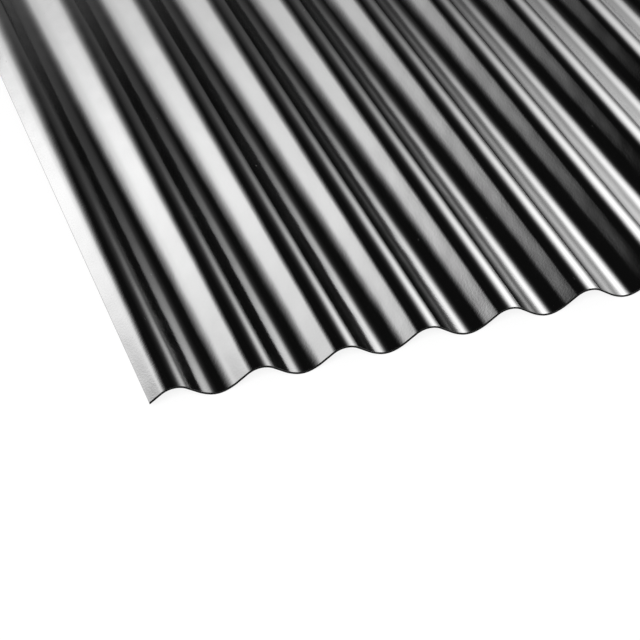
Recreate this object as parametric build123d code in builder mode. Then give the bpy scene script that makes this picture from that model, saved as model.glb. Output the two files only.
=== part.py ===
from build123d import *

import os
from math import atan2, ceil, cos, degrees, radians, sin

# Corrugated PVC roofing sheet: one thin wall, bent into waves, lying on its troughs.
# X runs across the waves, Y along them and Z up, in millimetres. The origin is on the floor under the
# middle of the sheet. The left edge, at -X, stops part way down the flank outside the first crest.

# Driving dimensions; radii are those of the middle of the wall
sheet_length = 2000.0  # along the waves
sheet_width = 900.0  # across the waves, from one edge to the other
sheet_height = 18.0  # from the floor to the top of a crest
sheet_thickness = 1.4  # the wall, measured square to its surface
wave_pitch = 76.0  # from crest to crest
crest_radius = 20.0  # the bend over a crest
trough_radius = 21.0  # the bend round the bottom of a trough
shoulder_slope = 18.5  # degrees, where the trough's bend opens out into the wider shoulder beside it
flank_length = 11.0  # straight run of the wall between a shoulder and a crest's bend
edge_lead = 21.3  # from the left edge to the line of the first crest

# From the centre of a crest's bend to the centre of the next trough's, and the same along the normal
# that the trough's bend and its shoulder share
half_pitch = wave_pitch / 2
wave_depth = sheet_height - sheet_thickness
bend_radii = crest_radius + trough_radius
centre_rise = bend_radii - wave_depth
centre_reach = half_pitch * sin(radians(shoulder_slope)) + centre_rise * cos(radians(shoulder_slope))

# The shoulder's radius is the one with which the straight flank just fits between it and the crest's bend
centre_distance_squared = half_pitch**2 + centre_rise**2
shoulder_radius = (
    centre_distance_squared
    + trough_radius**2
    - crest_radius**2
    - flank_length**2
    - 2 * trough_radius * centre_reach
) / (2 * (bend_radii - centre_reach))
shoulder_shift = (shoulder_radius - trough_radius) * sin(radians(shoulder_slope))
shoulder_lift = (shoulder_radius - trough_radius) * cos(radians(shoulder_slope))

# Steepest slope of the wall, in degrees, where the flank touches both bends
flank_angle = degrees(
    atan2(crest_radius + shoulder_radius, flank_length)
    - atan2(centre_rise + shoulder_lift, half_pitch + shoulder_shift)
)
crest_centre_height = sheet_height - sheet_thickness / 2 - crest_radius
trough_centre_height = sheet_thickness / 2 + trough_radius

# Bends are counted from the first crest, so the even ones are crests, and they run past both edges
first_crest_x = edge_lead - sheet_width / 2
first_bend = -ceil(edge_lead / half_pitch)
last_bend = ceil((sheet_width - edge_lead) / half_pitch)


def draw_crest(crest_x, above_middle):
    """A crest's bend, from left to right, that far above the middle of the wall; gives back its ends."""
    centre = (crest_x, crest_centre_height)
    bend = CenterArc(centre, crest_radius + above_middle, 90 + flank_angle, -2 * flank_angle)
    return bend @ 0, bend @ 1


def draw_trough(trough_x, above_middle):
    """A trough's bend with a shoulder on either side, drawn as draw_crest does; gives back its ends."""
    left_centre = (trough_x + shoulder_shift, trough_centre_height + shoulder_lift)
    right_centre = (trough_x - shoulder_shift, trough_centre_height + shoulder_lift)
    shoulder_face = shoulder_radius - above_middle
    shoulder_turn = flank_angle - shoulder_slope
    left = CenterArc(left_centre, shoulder_face, 270 - flank_angle, shoulder_turn)
    CenterArc(
        (trough_x, trough_centre_height),
        trough_radius - above_middle,
        270 - shoulder_slope,
        2 * shoulder_slope,
    )
    right = CenterArc(right_centre, shoulder_face, 270 + shoulder_slope, shoulder_turn)
    return left @ 0, right @ 1


def draw_face(above_middle):
    """The wavy line of the upper or the lower face, with its two ends given back for closing."""
    ends = []
    for bend in range(first_bend, last_bend + 1):
        draw_bend = draw_trough if bend % 2 else draw_crest
        ends.append(draw_bend(first_crest_x + bend * half_pitch, above_middle))
    for (_, flank_start), (flank_end, _) in zip(ends, ends[1:]):
        Line(flank_start, flank_end)
    return ends[0][0], ends[-1][1]


# The sheet: its section is drawn past both edges, trimmed to width and extruded both ways from the middle
with BuildPart() as corrugated_sheet:
    with BuildSketch(Plane.XZ):
        with BuildLine():
            upper_left, upper_right = draw_face(sheet_thickness / 2)
            lower_left, lower_right = draw_face(-sheet_thickness / 2)
            Line(upper_left, lower_left)
            Line(upper_right, lower_right)
        make_face()
        Rectangle(sheet_width, sheet_height, align=(Align.CENTER, Align.MIN), mode=Mode.INTERSECT)
    extrude(amount=sheet_length / 2, both=True)

corrugated_sheet.part.label = "corrugated_sheet"

os.makedirs("parts", exist_ok=True)
export_step(corrugated_sheet.part, "parts/corrugated_sheet.step")
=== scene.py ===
"""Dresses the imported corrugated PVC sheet: a fine, glossy black sheet on a white floor, under soft panels.

Everything is in metres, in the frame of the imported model: X across the waves, Y along them, Z up.
"""

import logging
from collections.abc import Callable, Iterator
from contextlib import contextmanager
from dataclasses import dataclass, field
from enum import Enum
from math import atan2, ceil, cos, degrees, radians, sin

import bmesh
import bpy
from mathutils import Matrix, Vector


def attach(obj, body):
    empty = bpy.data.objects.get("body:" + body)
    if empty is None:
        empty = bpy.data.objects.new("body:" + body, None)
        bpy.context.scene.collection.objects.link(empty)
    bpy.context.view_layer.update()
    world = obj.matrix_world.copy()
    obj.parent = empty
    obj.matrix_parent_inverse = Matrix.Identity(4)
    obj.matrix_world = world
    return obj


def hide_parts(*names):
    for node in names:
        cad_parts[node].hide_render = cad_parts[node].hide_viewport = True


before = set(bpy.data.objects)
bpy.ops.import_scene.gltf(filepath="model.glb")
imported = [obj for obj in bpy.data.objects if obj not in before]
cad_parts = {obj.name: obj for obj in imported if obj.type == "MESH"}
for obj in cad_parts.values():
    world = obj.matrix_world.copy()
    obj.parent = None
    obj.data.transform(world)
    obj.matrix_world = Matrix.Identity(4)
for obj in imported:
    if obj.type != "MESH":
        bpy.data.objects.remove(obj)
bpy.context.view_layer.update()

LOG = logging.getLogger("corrugated_sheet")
MILLIMETRE = 0.001
Triple = tuple[float, float, float]
Colour = tuple[float, float, float, float]
WHITE: Colour = (1.0, 1.0, 1.0, 1.0)

# Points this close are joined, and edges and faces this small are taken away
TOUCHING = 1e-5
DEGENERATE = 1e-6

# Nearly all of a noise's values, which could run from 0 to 1, lie between these
NOISE_LOW = 0.3
NOISE_HIGH = 0.7


class Bend(Enum):
    """The two ways in which the wall bends, as the sign of the turn seen from the near end."""

    CREST = 1
    TROUGH = -1


class Element(Enum):
    """The elements of a mesh that can be selected, by the name of Blender's own select mode."""

    VERTEX = "VERT"
    FACE = "FACE"


class Ray(Enum):
    """The kinds of ray that a studio panel can be hidden from, by the name of Blender's own switch."""

    CAMERA = "visible_camera"
    DIFFUSE = "visible_diffuse"
    SHADOW = "visible_shadow"


# Small helpers for meshes and nodes


def make_active(thing: bpy.types.Object) -> None:
    """Selects one object alone and makes it the active one.

    Args:
        thing: The object that the next operators act on.
    """
    bpy.ops.object.select_all(action="DESELECT")
    thing.select_set(True)
    bpy.context.view_layer.objects.active = thing


@contextmanager
def editing(thing: bpy.types.Object) -> Iterator[None]:
    """Puts one object in edit mode for as long as a with block lasts.

    Args:
        thing: The object to edit.

    Returns:
        The with block's context.
    """
    make_active(thing)
    bpy.ops.object.mode_set(mode="EDIT")
    yield
    bpy.ops.object.mode_set(mode="OBJECT")


def select_where(thing: bpy.types.Object, kind: Element, wanted: Callable[[object], bool]) -> None:
    """Selects elements of the mesh in edit mode by a test on each.

    Args:
        thing: The object in edit mode.
        kind: Whether vertices or faces are tested.
        wanted: Says whether an element is to be selected.
    """
    bpy.ops.mesh.select_mode(type=kind.value)
    bpy.ops.mesh.select_all(action="DESELECT")
    shape = bmesh.from_edit_mesh(thing.data)
    for element in shape.verts if kind is Element.VERTEX else shape.faces:
        if wanted(element):
            element.select_set(True)
    shape.select_flush_mode()
    bmesh.update_edit_mesh(thing.data)


def apply_modifier(thing: bpy.types.Object, kind: str, **settings: object) -> None:
    """Adds one modifier with its settings and applies it.

    Args:
        thing: The object to change.
        kind: The modifier's type, such as "ARRAY".
        settings: The modifier's own settings by name.
    """
    make_active(thing)
    modifier = thing.modifiers.new(kind.lower(), kind)
    for name, value in settings.items():
        setattr(modifier, name, value)
    bpy.ops.object.modifier_apply(modifier=modifier.name)


@dataclass
class Shop:
    """A node tree with short ways to add a node and to join its sockets."""

    tree: bpy.types.NodeTree

    def add(self, kind: str, **settings: object) -> bpy.types.Node:
        """Adds a node.

        Args:
            kind: The node's type, without the leading "ShaderNode".
            settings: The node's own settings by name.

        Returns:
            The new node.
        """
        node = self.tree.nodes.new("ShaderNode" + kind)
        for name, value in settings.items():
            setattr(node, name, value)
        return node

    def join(self, source: bpy.types.NodeSocket, target: bpy.types.NodeSocket) -> None:
        """Links an output to an input."""
        self.tree.links.new(source, target)

    def maths(self, operation: str, first: object, second: object = 0.0) -> bpy.types.NodeSocket:
        """Adds a Math node on sockets or plain numbers.

        Args:
            operation: Blender's name of the operation.
            first: The first input, a socket or a number.
            second: The second input, a socket or a number.

        Returns:
            The node's output.
        """
        node = self.add("Math", operation=operation)
        for socket, value in zip(node.inputs, (first, second)):
            if isinstance(value, bpy.types.NodeSocket):
                self.join(value, socket)
            else:
                socket.default_value = value
        return node.outputs["Value"]

    def ramp(
        self, value: bpy.types.NodeSocket, start: float, end: float, low: float = 0.0, high: float = 1.0
    ) -> bpy.types.NodeSocket:
        """Adds a smooth step from low to high as the value goes from start to end.

        Args:
            value: The socket that drives the step.
            start: The value at which the step begins.
            end: The value at which it ends.
            low: The result before the step.
            high: The result after it.

        Returns:
            The step's output.
        """
        node = self.add("MapRange", interpolation_type="SMOOTHSTEP")
        self.join(value, node.inputs["Value"])
        for name, number in (("From Min", start), ("From Max", end), ("To Min", low), ("To Max", high)):
            node.inputs[name].default_value = number
        return node.outputs["Result"]

    def bump(
        self, height: bpy.types.NodeSocket, depth: float, normal: bpy.types.NodeSocket | None = None
    ) -> bpy.types.NodeSocket:
        """Adds relief to the shading.

        Args:
            height: The relief's height, 0 to 1.
            depth: The depth that a height of 1 stands for.
            normal: The normal of the relief below it, or None for the mesh's own.

        Returns:
            The new normal.
        """
        node = self.add("Bump")
        node.inputs["Strength"].default_value = 1.0
        node.inputs["Distance"].default_value = depth
        self.join(height, node.inputs["Height"])
        if normal:
            self.join(normal, node.inputs["Normal"])
        return node.outputs["Normal"]

    def stretch(
        self, place: bpy.types.NodeSocket, scale: Triple, turn: float = 0.0
    ) -> bpy.types.NodeSocket:
        """Scales a place and then turns it about Z, so that a texture there is drawn out or pressed together.

        Args:
            place: The place to start from.
            scale: The scale along each axis.
            turn: The angle of the turn.

        Returns:
            The new place.
        """
        node = self.add("Mapping", vector_type="POINT")
        node.inputs["Rotation"].default_value = (0.0, 0.0, turn)
        node.inputs["Scale"].default_value = scale
        self.join(place, node.inputs["Vector"])
        return node.outputs["Vector"]


def new_material(name: str) -> tuple[bpy.types.Material, Shop, bpy.types.Node]:
    """Makes an empty node material with its output.

    Args:
        name: The material's name.

    Returns:
        The material, the shop for its nodes and its output node.
    """
    material = bpy.data.materials.new(name)
    material.use_nodes = True
    material.node_tree.nodes.clear()
    shop = Shop(material.node_tree)
    return material, shop, shop.add("OutputMaterial")


# Finishes


@dataclass(frozen=True)
class NoiseLayer:
    """One kind of unevenness: a noise, with its scale as an input of the group that it is in."""

    name: str
    scale: float
    stretch: Triple
    detail: float
    roughness: float

    def add_to(self, shop: Shop, entry: bpy.types.Node, leave: bpy.types.Node) -> None:
        """Adds the noise between the group's input node and its own output, 0 to 1.

        Args:
            shop: The group's nodes.
            entry: The group's input node.
            leave: The group's output node.
        """
        noise = shop.add("TexNoise", noise_dimensions="3D")
        noise.inputs["Detail"].default_value = self.detail
        noise.inputs["Roughness"].default_value = self.roughness
        shop.join(shop.stretch(entry.outputs["Vector"], self.stretch), noise.inputs["Vector"])
        shop.join(entry.outputs[f"{self.name} Scale"], noise.inputs["Scale"])
        shop.join(noise.outputs["Fac"], leave.inputs[self.name])


@dataclass(frozen=True)
class Scuffs:
    """The few marks of handling: small, long, broken-up spots, a hand's breadth apart."""

    name: str = "Scuffs"
    scale: float = 4.0
    stretch: Triple = (3.0, 1.0, 3.0)
    turn: float = radians(24.0)
    core: float = 0.004
    rim: float = 0.014
    crumble_scale: float = 1400.0
    crumble_start: float = 0.45
    crumble_end: float = 0.6

    def add_to(self, shop: Shop, entry: bpy.types.Node, leave: bpy.types.Node) -> None:
        """Adds the spots between the group's input node and its own output, 0 on clean plastic.

        Args:
            shop: The group's nodes.
            entry: The group's input node.
            leave: The group's output node.
        """
        spots = shop.add("TexVoronoi", voronoi_dimensions="2D", feature="F1")
        shop.join(shop.stretch(entry.outputs["Vector"], self.stretch, self.turn), spots.inputs["Vector"])
        shop.join(entry.outputs[f"{self.name} Scale"], spots.inputs["Scale"])
        crumble = shop.add("TexNoise", noise_dimensions="3D")
        crumble.inputs["Scale"].default_value = self.crumble_scale
        shop.join(entry.outputs["Vector"], crumble.inputs["Vector"])
        spot = shop.ramp(spots.outputs["Distance"], self.core, self.rim, 1.0, 0.0)
        broken = shop.ramp(crumble.outputs["Fac"], self.crumble_start, self.crumble_end)
        shop.join(shop.maths("MULTIPLY", spot, broken), leave.inputs[self.name])


@dataclass(frozen=True)
class ExtrusionRipple:
    """The faint unevenness of the rolled plastic and its few scuffs, as a group used by both finishes."""

    name: str = "extrusion_ripple"
    layers: tuple[NoiseLayer | Scuffs, ...] = (
        NoiseLayer("Grain", scale=560.0, stretch=(0.85, 1.0, 0.85), detail=3.0, roughness=0.55),
        NoiseLayer("Waviness", scale=22.0, stretch=(2.0, 1.0, 2.0), detail=1.0, roughness=0.4),
        NoiseLayer("Lines", scale=260.0, stretch=(1.0, 0.004, 1.0), detail=2.0, roughness=0.5),
        Scuffs(),
    )

    def group(self) -> bpy.types.NodeTree:
        """Builds the group once, with a scale input and an output for each layer.

        Returns:
            The node group, built now or before.
        """
        if self.name in bpy.data.node_groups:
            return bpy.data.node_groups[self.name]
        tree = bpy.data.node_groups.new(self.name, "ShaderNodeTree")
        tree.interface.new_socket("Vector", in_out="INPUT", socket_type="NodeSocketVector")
        for layer in self.layers:
            scale = tree.interface.new_socket(
                f"{layer.name} Scale", in_out="INPUT", socket_type="NodeSocketFloat"
            )
            scale.default_value = layer.scale
            tree.interface.new_socket(layer.name, in_out="OUTPUT", socket_type="NodeSocketFloat")
        entry = tree.nodes.new("NodeGroupInput")
        leave = tree.nodes.new("NodeGroupOutput")
        for layer in self.layers:
            layer.add_to(Shop(tree), entry, leave)
        return tree

    def add_to(self, shop: Shop) -> bpy.types.Node:
        """Adds the group to a material, on Object coordinates.

        Args:
            shop: The material's nodes.

        Returns:
            The group's node in the material.
        """
        place = shop.add("TexCoord")
        ripple = shop.add("Group")
        ripple.node_tree = self.group()
        shop.join(place.outputs["Object"], ripple.inputs["Vector"])
        return ripple


@dataclass(frozen=True)
class GlossyPvc:
    """Deep black, rolled and glossy: the two faces of the sheet."""

    name: str = "black_pvc_gloss"
    base: Colour = (0.002, 0.002, 0.002, 1.0)
    index: float = 1.54
    smoothest: float = 0.05
    roughest: float = 0.09
    scuff_dulling: float = 0.25
    grain_depth: float = 0.04 * MILLIMETRE
    waviness_depth: float = 0.28 * MILLIMETRE
    line_depth: float = 0.004 * MILLIMETRE

    def material(self) -> bpy.types.Material:
        """Builds the material.

        Returns:
            The finished material.
        """
        material, shop, output = new_material(self.name)
        shader = shop.add("BsdfPrincipled")
        shader.inputs["Base Color"].default_value = self.base
        shader.inputs["IOR"].default_value = self.index
        ripple = ExtrusionRipple().add_to(shop)
        waviness = ripple.outputs["Waviness"]
        gloss = shop.ramp(waviness, NOISE_LOW, NOISE_HIGH, self.smoothest, self.roughest)
        dulled = shop.maths("MULTIPLY", ripple.outputs["Scuffs"], self.scuff_dulling)
        shop.join(shop.maths("ADD", gloss, dulled), shader.inputs["Roughness"])
        normal = shop.bump(waviness, self.waviness_depth)
        normal = shop.bump(ripple.outputs["Lines"], self.line_depth, normal)
        normal = shop.bump(ripple.outputs["Grain"], self.grain_depth, normal)
        shop.join(normal, shader.inputs["Normal"])
        shop.join(shader.outputs["BSDF"], output.inputs["Surface"])
        return material


@dataclass(frozen=True)
class SawnPvc:
    """The same plastic where it was sawn to length: dull, with fine saw marks across the wall."""

    name: str = "black_pvc_cut"
    base: Colour = (0.002, 0.002, 0.002, 1.0)
    index: float = 1.54
    shine: float = 0.06
    smoothest: float = 0.55
    roughest: float = 0.75
    mark_scale: float = 1600.0
    mark_depth: float = 0.02 * MILLIMETRE

    def material(self) -> bpy.types.Material:
        """Builds the material.

        Returns:
            The finished material.
        """
        material, shop, output = new_material(self.name)
        shader = shop.add("BsdfPrincipled")
        shader.inputs["Base Color"].default_value = self.base
        shader.inputs["IOR"].default_value = self.index
        shader.inputs["Specular IOR Level"].default_value = self.shine
        ripple = ExtrusionRipple().add_to(shop)
        ripple.inputs["Grain Scale"].default_value = self.mark_scale
        marks = ripple.outputs["Grain"]
        dullness = shop.ramp(marks, NOISE_LOW, NOISE_HIGH, self.smoothest, self.roughest)
        shop.join(dullness, shader.inputs["Roughness"])
        shop.join(shop.bump(marks, self.mark_depth), shader.inputs["Normal"])
        shop.join(shader.outputs["BSDF"], output.inputs["Surface"])
        return material


# The sheet


@dataclass
class CorrugatedSheet:
    """The one piece: a thin wall bent into waves, lying on its troughs."""

    # The real sheet, with radii measured at the middle of the wall
    length: float = 2.0
    width: float = 0.9
    height: float = 0.018
    thickness: float = 0.0014
    pitch: float = 0.076
    crest_radius: float = 0.020
    trough_radius: float = 0.021
    shoulder_slope: float = radians(18.5)
    flank_length: float = 0.011
    edge_lead: float = 0.0213
    edge_break: float = 0.0002
    dull_rim: float = 0.001

    # How finely it is modelled, and which angles count as sharp or smooth
    flank_steps: int = 3
    step_angle: float = radians(3.0)
    spare_waves: int = 2
    length_steps: int = 20
    edge_break_steps: int = 2
    edge_break_above: float = radians(60.0)
    smooth_below: float = radians(12.0)

    gloss: GlossyPvc = field(default_factory=GlossyPvc)
    sawn: SawnPvc = field(default_factory=SawnPvc)
    shoulder_radius: float = field(init=False)
    flank_slope: float = field(init=False)

    def __post_init__(self) -> None:
        """Works out the shoulder and the flank's slope, so that all the bends and flanks touch."""
        radii = self.crest_radius + self.trough_radius
        half_pitch = self.pitch / 2
        rise = radii - (self.height - self.thickness)
        reach = half_pitch * sin(self.shoulder_slope) + rise * cos(self.shoulder_slope)
        spread = half_pitch**2 + rise**2 + self.trough_radius**2 - self.crest_radius**2
        room = spread - self.flank_length**2 - 2 * self.trough_radius * reach
        self.shoulder_radius = room / (2 * (radii - reach))
        shift = (self.shoulder_radius - self.trough_radius) * sin(self.shoulder_slope)
        lift = (self.shoulder_radius - self.trough_radius) * cos(self.shoulder_slope)
        steepest = atan2(self.crest_radius + self.shoulder_radius, self.flank_length)
        self.flank_slope = steepest - atan2(rise + lift, half_pitch + shift)

    @property
    def first_crest(self) -> float:
        """X of the crest nearest to the left edge."""
        return self.edge_lead - self.width / 2

    @property
    def stretch(self) -> float:
        """Length of the short piece that is repeated up to the far end."""
        return self.length / self.length_steps

    def build(self) -> bpy.types.Object:
        """Models one wave of one short stretch, repeats it both ways, thickens it and cuts it to size.

        Returns:
            The sheet, at the origin with its place in its mesh.
        """
        sheet = self.rising_flank()
        self.bend_on(sheet, Bend.CREST, self.crest_radius, self.flank_slope, -self.flank_slope)
        self.falling_flank(sheet)
        self.bend_on(sheet, Bend.TROUGH, self.shoulder_radius, -self.flank_slope, -self.shoulder_slope)
        self.bend_on(sheet, Bend.TROUGH, self.trough_radius, -self.shoulder_slope, self.shoulder_slope)
        self.bend_on(sheet, Bend.TROUGH, self.shoulder_radius, self.shoulder_slope, self.flank_slope)
        self.repeat(sheet)
        apply_modifier(
            sheet, "SOLIDIFY", thickness=self.thickness, offset=0.0, use_even_offset=True, use_rim=True
        )
        self.trim_sides(sheet)
        self.mark_rims(sheet)
        self.break_edges(sheet)
        return sheet

    def rising_flank(self) -> bpy.types.Object:
        """Adds the straight flank on the left of the crest before the first one.

        Returns:
            The new object, with its place applied to its mesh.
        """
        crest_centre = self.height - self.thickness / 2 - self.crest_radius
        touch_x = self.first_crest - self.pitch - self.crest_radius * sin(self.flank_slope)
        touch_z = crest_centre + self.crest_radius * cos(self.flank_slope)
        middle_x = touch_x - self.flank_length / 2 * cos(self.flank_slope)
        middle_z = touch_z - self.flank_length / 2 * sin(self.flank_slope)
        bpy.ops.mesh.primitive_grid_add(
            x_subdivisions=self.flank_steps,
            y_subdivisions=1,
            size=1.0,
            location=(middle_x, (self.stretch - self.length) / 2, middle_z),
            rotation=(0.0, -self.flank_slope, 0.0),
        )
        flank = bpy.context.object
        flank.name = flank.data.name = "corrugated_pvc_sheet"
        flank.scale = (self.flank_length, self.stretch, 1.0)
        bpy.ops.object.transform_apply(location=True, rotation=True, scale=True)
        return flank

    def select_right_end(self, sheet: bpy.types.Object) -> Vector:
        """Selects the vertices furthest to the right and gives one of them.

        Args:
            sheet: The strip being modelled, in edit mode.

        Returns:
            The place of one of the selected vertices.
        """
        shape = bmesh.from_edit_mesh(sheet.data)
        last = max(shape.verts, key=lambda vertex: vertex.co.x).co.copy()
        select_where(sheet, Element.VERTEX, lambda vertex: vertex.co.x > last.x - TOUCHING)
        return last

    def bend_on(self, sheet: bpy.types.Object, bend: Bend, radius: float, start: float, end: float) -> None:
        """Spins the strip's right end round the next bend's axis.

        Args:
            sheet: The strip being modelled.
            bend: Which way the wall turns.
            radius: The bend's radius.
            start: The wall's slope where the bend starts, positive where it rises.
            end: Its slope where the bend ends.
        """
        arm = bend.value * radius
        with editing(sheet):
            last = self.select_right_end(sheet)
            bpy.ops.mesh.spin(
                steps=round(abs(end - start) / self.step_angle),
                angle=end - start,
                center=(last.x + arm * sin(start), last.y, last.z - arm * cos(start)),
                axis=(0.0, 1.0, 0.0),
                dupli=False,
            )

    def falling_flank(self, sheet: bpy.types.Object) -> None:
        """Extrudes the strip's right end down the flank that follows a crest.

        Args:
            sheet: The strip being modelled.
        """
        step = self.flank_length / self.flank_steps
        move = (step * cos(self.flank_slope), 0.0, -step * sin(self.flank_slope))
        with editing(sheet):
            self.select_right_end(sheet)
            for _ in range(self.flank_steps):
                bpy.ops.mesh.extrude_region_move(TRANSFORM_OT_translate={"value": move})

    def repeat(self, sheet: bpy.types.Object) -> None:
        """Repeats the wave past the right edge and the stretch up to the far end, joined where they meet.

        Args:
            sheet: The strip, one wave wide.
        """
        waves = ceil((self.width - self.edge_lead) / self.pitch) + self.spare_waves
        across = (waves, (self.pitch, 0.0, 0.0))
        along = (self.length_steps, (0.0, self.stretch, 0.0))
        for count, offset in (across, along):
            apply_modifier(
                sheet,
                "ARRAY",
                count=count,
                use_relative_offset=False,
                use_constant_offset=True,
                constant_offset_displace=offset,
                use_merge_vertices=True,
                merge_threshold=TOUCHING,
            )
        with editing(sheet):
            bpy.ops.mesh.select_all(action="SELECT")
            bpy.ops.mesh.normals_make_consistent(inside=False)

    def trim_sides(self, sheet: bpy.types.Object) -> None:
        """Cuts the thick wall off square at both side edges and closes it there.

        Args:
            sheet: The sheet, wider than it should be.
        """
        with editing(sheet):
            for side in (-1.0, 1.0):
                bpy.ops.mesh.select_all(action="SELECT")
                bpy.ops.mesh.bisect(
                    plane_co=(side * self.width / 2, 0.0, 0.0),
                    plane_no=(side, 0.0, 0.0),
                    clear_outer=True,
                    use_fill=True,
                )

    def mark_rims(self, sheet: bpy.types.Object) -> None:
        """Divides the faces a little way in from both ends, as far as the saw dulls them.

        Args:
            sheet: The sheet, cut to size.
        """
        rim = self.length / 2 - self.dull_rim
        with editing(sheet):
            for end in (-1.0, 1.0):
                bpy.ops.mesh.select_all(action="SELECT")
                bpy.ops.mesh.bisect(plane_co=(0.0, end * rim, 0.0), plane_no=(0.0, end, 0.0))

    def break_edges(self, sheet: bpy.types.Object) -> None:
        """Takes the sharpness off the cut edges and smooths the shading of the bends.

        Args:
            sheet: The sheet, cut to size.
        """
        apply_modifier(
            sheet,
            "BEVEL",
            width=self.edge_break,
            segments=self.edge_break_steps,
            limit_method="ANGLE",
            angle_limit=self.edge_break_above,
        )
        with editing(sheet):
            bpy.ops.mesh.select_all(action="SELECT")
            bpy.ops.mesh.dissolve_degenerate(threshold=DEGENERATE)
        bpy.ops.object.shade_smooth_by_angle(angle=self.smooth_below)

    def dress(self, sheet: bpy.types.Object) -> None:
        """Gives the faces and the long sides their gloss, and the two ends with their rims their sawn finish.

        Args:
            sheet: The finished mesh.
        """
        finishes = (self.gloss, self.sawn)
        for finish in finishes:
            sheet.data.materials.append(finish.material())
        rim = self.length / 2 - self.dull_rim
        with editing(sheet):
            select_where(sheet, Element.FACE, lambda face: abs(face.calc_center_median().y) > rim)
            sheet.active_material_index = finishes.index(self.sawn)
            bpy.ops.object.material_slot_assign()

    def place(self, sheet: bpy.types.Object) -> None:
        """Hangs the sheet on the root body and hides the imported node that it takes the place of.

        Args:
            sheet: The finished piece.
        """
        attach(sheet, "root")
        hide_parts("corrugated_sheet")


# The studio


def seen_directly(shop: Shop) -> bpy.types.NodeSocket:
    """Adds the test for rays that should find a plain white background: seen, mirrored or through glass.

    Args:
        shop: The nodes of the floor or the world.

    Returns:
        1 for such a ray and 0 for the rays that light the object.
    """
    path = shop.add("LightPath")
    seen = shop.maths("MAXIMUM", path.outputs["Is Camera Ray"], path.outputs["Is Glossy Ray"])
    return shop.maths("MAXIMUM", seen, path.outputs["Is Transmission Ray"])


def keep_to_reflections(thing: bpy.types.Object) -> None:
    """Hides an object from every kind of ray that a panel can be hidden from, so that only gloss shows it.

    Args:
        thing: A panel or the tent.
    """
    for ray in Ray:
        setattr(thing, ray.value, False)


@dataclass
class StudioFloor:
    """A plain white floor that fills every view and keeps a faint shadow of the sheet."""

    size: float = 80.0
    colour: Colour = (0.9, 0.9, 0.9, 1.0)
    glow: float = 0.86

    def build(self) -> None:
        """Adds the floor under the sheet."""
        bpy.ops.mesh.primitive_plane_add(size=self.size)
        floor = bpy.context.object
        floor.name = "studio_floor"
        material, shop, output = new_material("white_floor")
        paint = shop.add("BsdfDiffuse")
        paint.inputs["Color"].default_value = self.colour
        light = shop.add("Emission")
        light.inputs["Color"].default_value = WHITE
        mix = shop.add("MixShader")
        shop.join(shop.maths("MULTIPLY", seen_directly(shop), self.glow), mix.inputs["Fac"])
        shop.join(paint.outputs["BSDF"], mix.inputs[1])
        shop.join(light.outputs["Emission"], mix.inputs[2])
        shop.join(mix.outputs["Shader"], output.inputs["Surface"])
        floor.data.materials.append(material)


@dataclass(frozen=True)
class Falloff:
    """How a panel's light dies away on both sides of a line.

    It is full up to the flat distance, and then exp(-(distance beyond that / width) ^ power).
    """

    middle: float
    flat: float
    width: float
    power: float

    def share(self, shop: Shop, place: bpy.types.NodeSocket) -> bpy.types.NodeSocket:
        """Adds the nodes of the falloff.

        Args:
            shop: The material's nodes.
            place: The place along one axis of the panel.

        Returns:
            The share of the full light there, 0 to 1.
        """
        away = shop.maths("ABSOLUTE", shop.maths("SUBTRACT", place, self.middle))
        beyond = shop.maths("MAXIMUM", shop.maths("SUBTRACT", away, self.flat), 0.0)
        power = shop.maths("POWER", shop.maths("DIVIDE", beyond, self.width), self.power)
        return shop.maths("EXPONENT", shop.maths("MULTIPLY", power, -1.0))


@dataclass(frozen=True)
class Fade:
    """A soft rim of a panel: full light up to start, none from end on."""

    start: float
    end: float

    def share(self, shop: Shop, place: bpy.types.NodeSocket) -> bpy.types.NodeSocket:
        """Adds the nodes of the fade.

        Args:
            shop: The material's nodes.
            place: The place along one axis of the panel.

        Returns:
            The share of the full light there, 0 to 1.
        """
        return shop.ramp(place, self.start, self.end, 1.0, 0.0)


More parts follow.
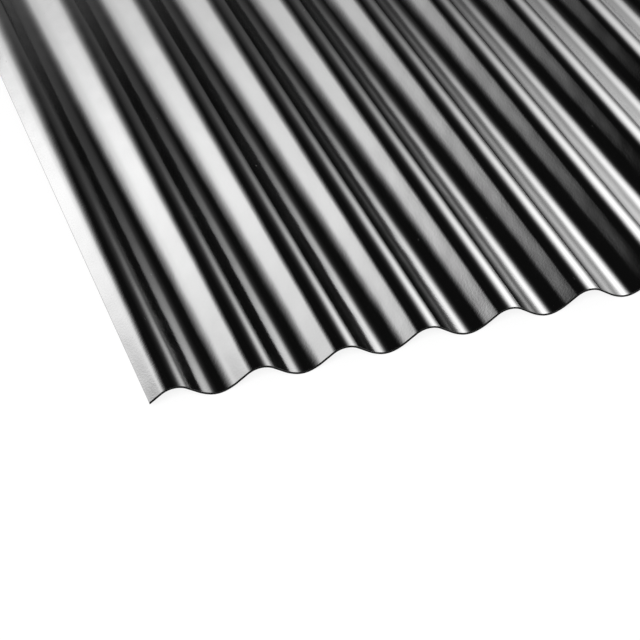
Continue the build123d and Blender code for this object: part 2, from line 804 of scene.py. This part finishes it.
@dataclass(frozen=True)
class ReflectionPanel:
    """A soft light that hangs over the sheet and shows only in glossy surfaces.

    Across means along the panel's own X and along means its own Y, in metres from its place. Tilt and turn
    are in radians. The light is the radiance, plus the rise for each metre either way, up to the ceiling.
    """

    name: str
    place: Triple
    tilt: float
    turn: float
    radiance: float
    across: Falloff | Fade
    along: Falloff
    reach_across: tuple[float, float]
    reach_along: tuple[float, float]
    rise: tuple[float, float] = (0.0, 0.0)
    ceiling: float | None = None
    near_rim: Fade | None = None

    def build(self) -> None:
        """Adds the panel, hidden from the camera and from all that isn't a reflection."""
        low_x, high_x = self.reach_across
        low_y, high_y = self.reach_along
        middle = ((low_x + high_x) / 2, (low_y + high_y) / 2, 0.0)
        bpy.ops.mesh.primitive_plane_add(size=1.0, location=middle)
        panel = bpy.context.object
        panel.name = self.name
        panel.scale = (high_x - low_x, high_y - low_y, 1.0)
        bpy.ops.object.transform_apply(location=True, rotation=True, scale=True)
        lean = Matrix.Rotation(-self.tilt, 4, "Y") @ Matrix.Rotation(-self.turn, 4, "Z")
        panel.matrix_world = Matrix.Translation(self.place) @ lean
        panel.data.materials.append(self.veil())
        keep_to_reflections(panel)

    def veil(self) -> bpy.types.Material:
        """Builds the panel's light, which dies away towards its rims and hides nothing behind it.

        Returns:
            The emitting material.
        """
        material, shop, output = new_material(self.name + "_glow")
        emission = shop.add("Emission")
        emission.inputs["Color"].default_value = WHITE
        shop.join(self.strength(shop), emission.inputs["Strength"])
        both = shop.add("AddShader")
        shop.join(emission.outputs["Emission"], both.inputs[0])
        shop.join(shop.add("BsdfTransparent").outputs["BSDF"], both.inputs[1])
        shop.join(both.outputs["Shader"], output.inputs["Surface"])
        return material

    def strength(self, shop: Shop) -> bpy.types.NodeSocket:
        """Adds the nodes of the light's strength.

        Args:
            shop: The material's nodes.

        Returns:
            The strength at each place on the panel.
        """
        place = shop.add("TexCoord")
        axes = shop.add("SeparateXYZ")
        shop.join(place.outputs["Object"], axes.inputs["Vector"])
        x, y = axes.outputs["X"], axes.outputs["Y"]
        share = shop.maths("MULTIPLY", self.across.share(shop, x), self.along.share(shop, y))
        if self.near_rim:
            share = shop.maths("MULTIPLY", share, self.near_rim.share(shop, y))
        level = self.radiance
        for axis, rise in zip((x, y), self.rise):
            if rise:
                level = shop.maths("ADD", shop.maths("MULTIPLY", axis, rise), level)
        if self.ceiling:
            level = shop.maths("MINIMUM", level, self.ceiling)
        return shop.maths("MULTIPLY", share, level)


@dataclass
class BlackTent:
    """The dark cloth round the studio that glossy black plastic mirrors, so that it looks black."""

    radius: float = 14.0
    segments: int = 48
    rings: int = 24
    colour: Colour = (0.02, 0.02, 0.02, 1.0)

    def build(self) -> None:
        """Adds the tent, hidden from all that isn't a reflection."""
        bpy.ops.mesh.primitive_uv_sphere_add(
            segments=self.segments, ring_count=self.rings, radius=self.radius
        )
        tent = bpy.context.object
        tent.name = "black_tent"
        material, shop, output = new_material("black_tent_cloth")
        emission = shop.add("Emission")
        emission.inputs["Color"].default_value = self.colour
        shop.join(emission.outputs["Emission"], output.inputs["Surface"])
        tent.data.materials.append(material)
        keep_to_reflections(tent)


@dataclass
class StudioSky:
    """The white background all round, and the room's soft light behind it."""

    ambient: float = 0.35

    def build(self) -> None:
        """Makes the world, white where it is seen and dim where it lights."""
        world = bpy.data.worlds.new("studio_sky")
        world.use_nodes = True
        world.node_tree.nodes.clear()
        shop = Shop(world.node_tree)
        background = shop.add("Background")
        background.inputs["Color"].default_value = WHITE
        seen = seen_directly(shop)
        hidden = shop.maths("MULTIPLY", shop.maths("SUBTRACT", 1.0, seen), self.ambient)
        shop.join(shop.maths("ADD", seen, hidden), background.inputs["Strength"])
        output = shop.add("OutputWorld")
        shop.join(background.outputs["Background"], output.inputs["Surface"])
        bpy.context.scene.world = world


@dataclass(frozen=True)
class KeyLamp:
    """A large soft lamp that lights the sheet and the floor at a plain level."""

    name: str
    place: Triple
    size: float
    power: float

    def build(self) -> None:
        """Adds the lamp, aimed at the middle of the sheet."""
        data = bpy.data.lights.new(self.name, "AREA")
        data.shape = "DISK"
        data.size = self.size
        data.energy = self.power
        lamp = bpy.data.objects.new(self.name, data)
        bpy.context.scene.collection.objects.link(lamp)
        lamp.location = self.place
        lamp.rotation_euler = (-Vector(self.place)).to_track_quat("-Z", "Y").to_euler()


@dataclass
class PhotoCamera:
    """The camera where the photograph was taken from, looking along the sheet from near its left corner."""

    place: Triple = (-0.73663, -2.24316, 1.08945)
    forward: Triple = (0.260687, 0.741628, -0.618086)
    right: Triple = (0.940548, -0.339494, -0.010661)
    lens: float = 113.209
    sensor: float = 36.0
    far_clip: float = 300.0

    def build(self) -> None:
        """Adds the camera and makes it the scene's own."""
        data = bpy.data.cameras.new("photo_camera")
        data.lens = self.lens
        data.sensor_width = self.sensor
        data.clip_end = self.far_clip
        camera = bpy.data.objects.new("photo_camera", data)
        bpy.context.scene.collection.objects.link(camera)
        back = -Vector(self.forward).normalized()
        right = Vector(self.right).normalized()
        up = back.cross(right).normalized()
        turn = Matrix((right, up, back)).transposed().to_4x4()
        camera.matrix_world = Matrix.Translation(self.place) @ turn
        bpy.context.scene.camera = camera


@dataclass
class Studio:
    """The floor, the lights and the camera."""

    floor: StudioFloor = field(default_factory=StudioFloor)
    tent: BlackTent = field(default_factory=BlackTent)
    sky: StudioSky = field(default_factory=StudioSky)
    camera: PhotoCamera = field(default_factory=PhotoCamera)
    lamps: tuple[KeyLamp, ...] = (
        KeyLamp(name="key_lamp", place=(-2.5, -4.0, 3.5), size=3.0, power=380.0),
    )
    panels: tuple[ReflectionPanel, ...] = (
        ReflectionPanel(
            name="left_panel",
            place=(-0.7, 0.0, 1.076),
            tilt=-0.307,
            turn=0.993,
            radiance=9.5,
            rise=(-0.797, 1.636),
            ceiling=11.9,
            near_rim=Fade(start=-0.25, end=-1.3),
            across=Fade(start=-1.599, end=-0.223),
            along=Falloff(middle=-0.635, flat=0.705, width=0.915, power=1.152),
            reach_across=(-7.0, -0.223),
            reach_along=(-3.2, 3.4),
        ),
        ReflectionPanel(
            name="right_panel",
            place=(0.402, 0.0, 0.4304),
            tilt=-1.052,
            turn=0.0296,
            radiance=17.45,
            across=Falloff(middle=0.0, flat=0.0, width=0.2768, power=2.13),
            along=Falloff(middle=-0.9, flat=0.0, width=0.8454, power=2.81),
            reach_across=(-0.9, 0.45),
            reach_along=(-2.4, 1.2),
        ),
        ReflectionPanel(
            name="wall_glow",
            place=(0.437, 0.0, 0.45),
            tilt=-1.052,
            turn=0.0296,
            radiance=0.261,
            across=Falloff(middle=0.0, flat=0.0, width=0.6513, power=3.01),
            along=Falloff(middle=0.466, flat=0.0, width=0.943, power=2.0),
            reach_across=(-1.1, 0.45),
            reach_along=(-1.6, 2.8),
        ),
    )

    def build(self) -> None:
        """Sets up everything round the sheet."""
        bpy.context.scene.view_settings.view_transform = "Standard"
        self.camera.build()
        self.sky.build()
        self.floor.build()
        self.tent.build()
        for light in (*self.lamps, *self.panels):
            light.build()


def main() -> None:
    """Builds the studio and the sheet, and reports each."""
    logging.basicConfig(level=logging.INFO, format="%(name)s: %(message)s")
    studio = Studio()
    studio.build()
    LOG.info("studio: %d lamps, %d panels", len(studio.lamps), len(studio.panels))
    maker = CorrugatedSheet()
    LOG.info(
        "wave: shoulders of %.1f mm, flanks at %.1f degrees",
        maker.shoulder_radius / MILLIMETRE,
        degrees(maker.flank_slope),
    )
    sheet = maker.build()
    maker.dress(sheet)
    maker.place(sheet)
    LOG.info("%s: %d faces", sheet.name, len(sheet.data.polygons))


if __name__ == "__main__":
    main()
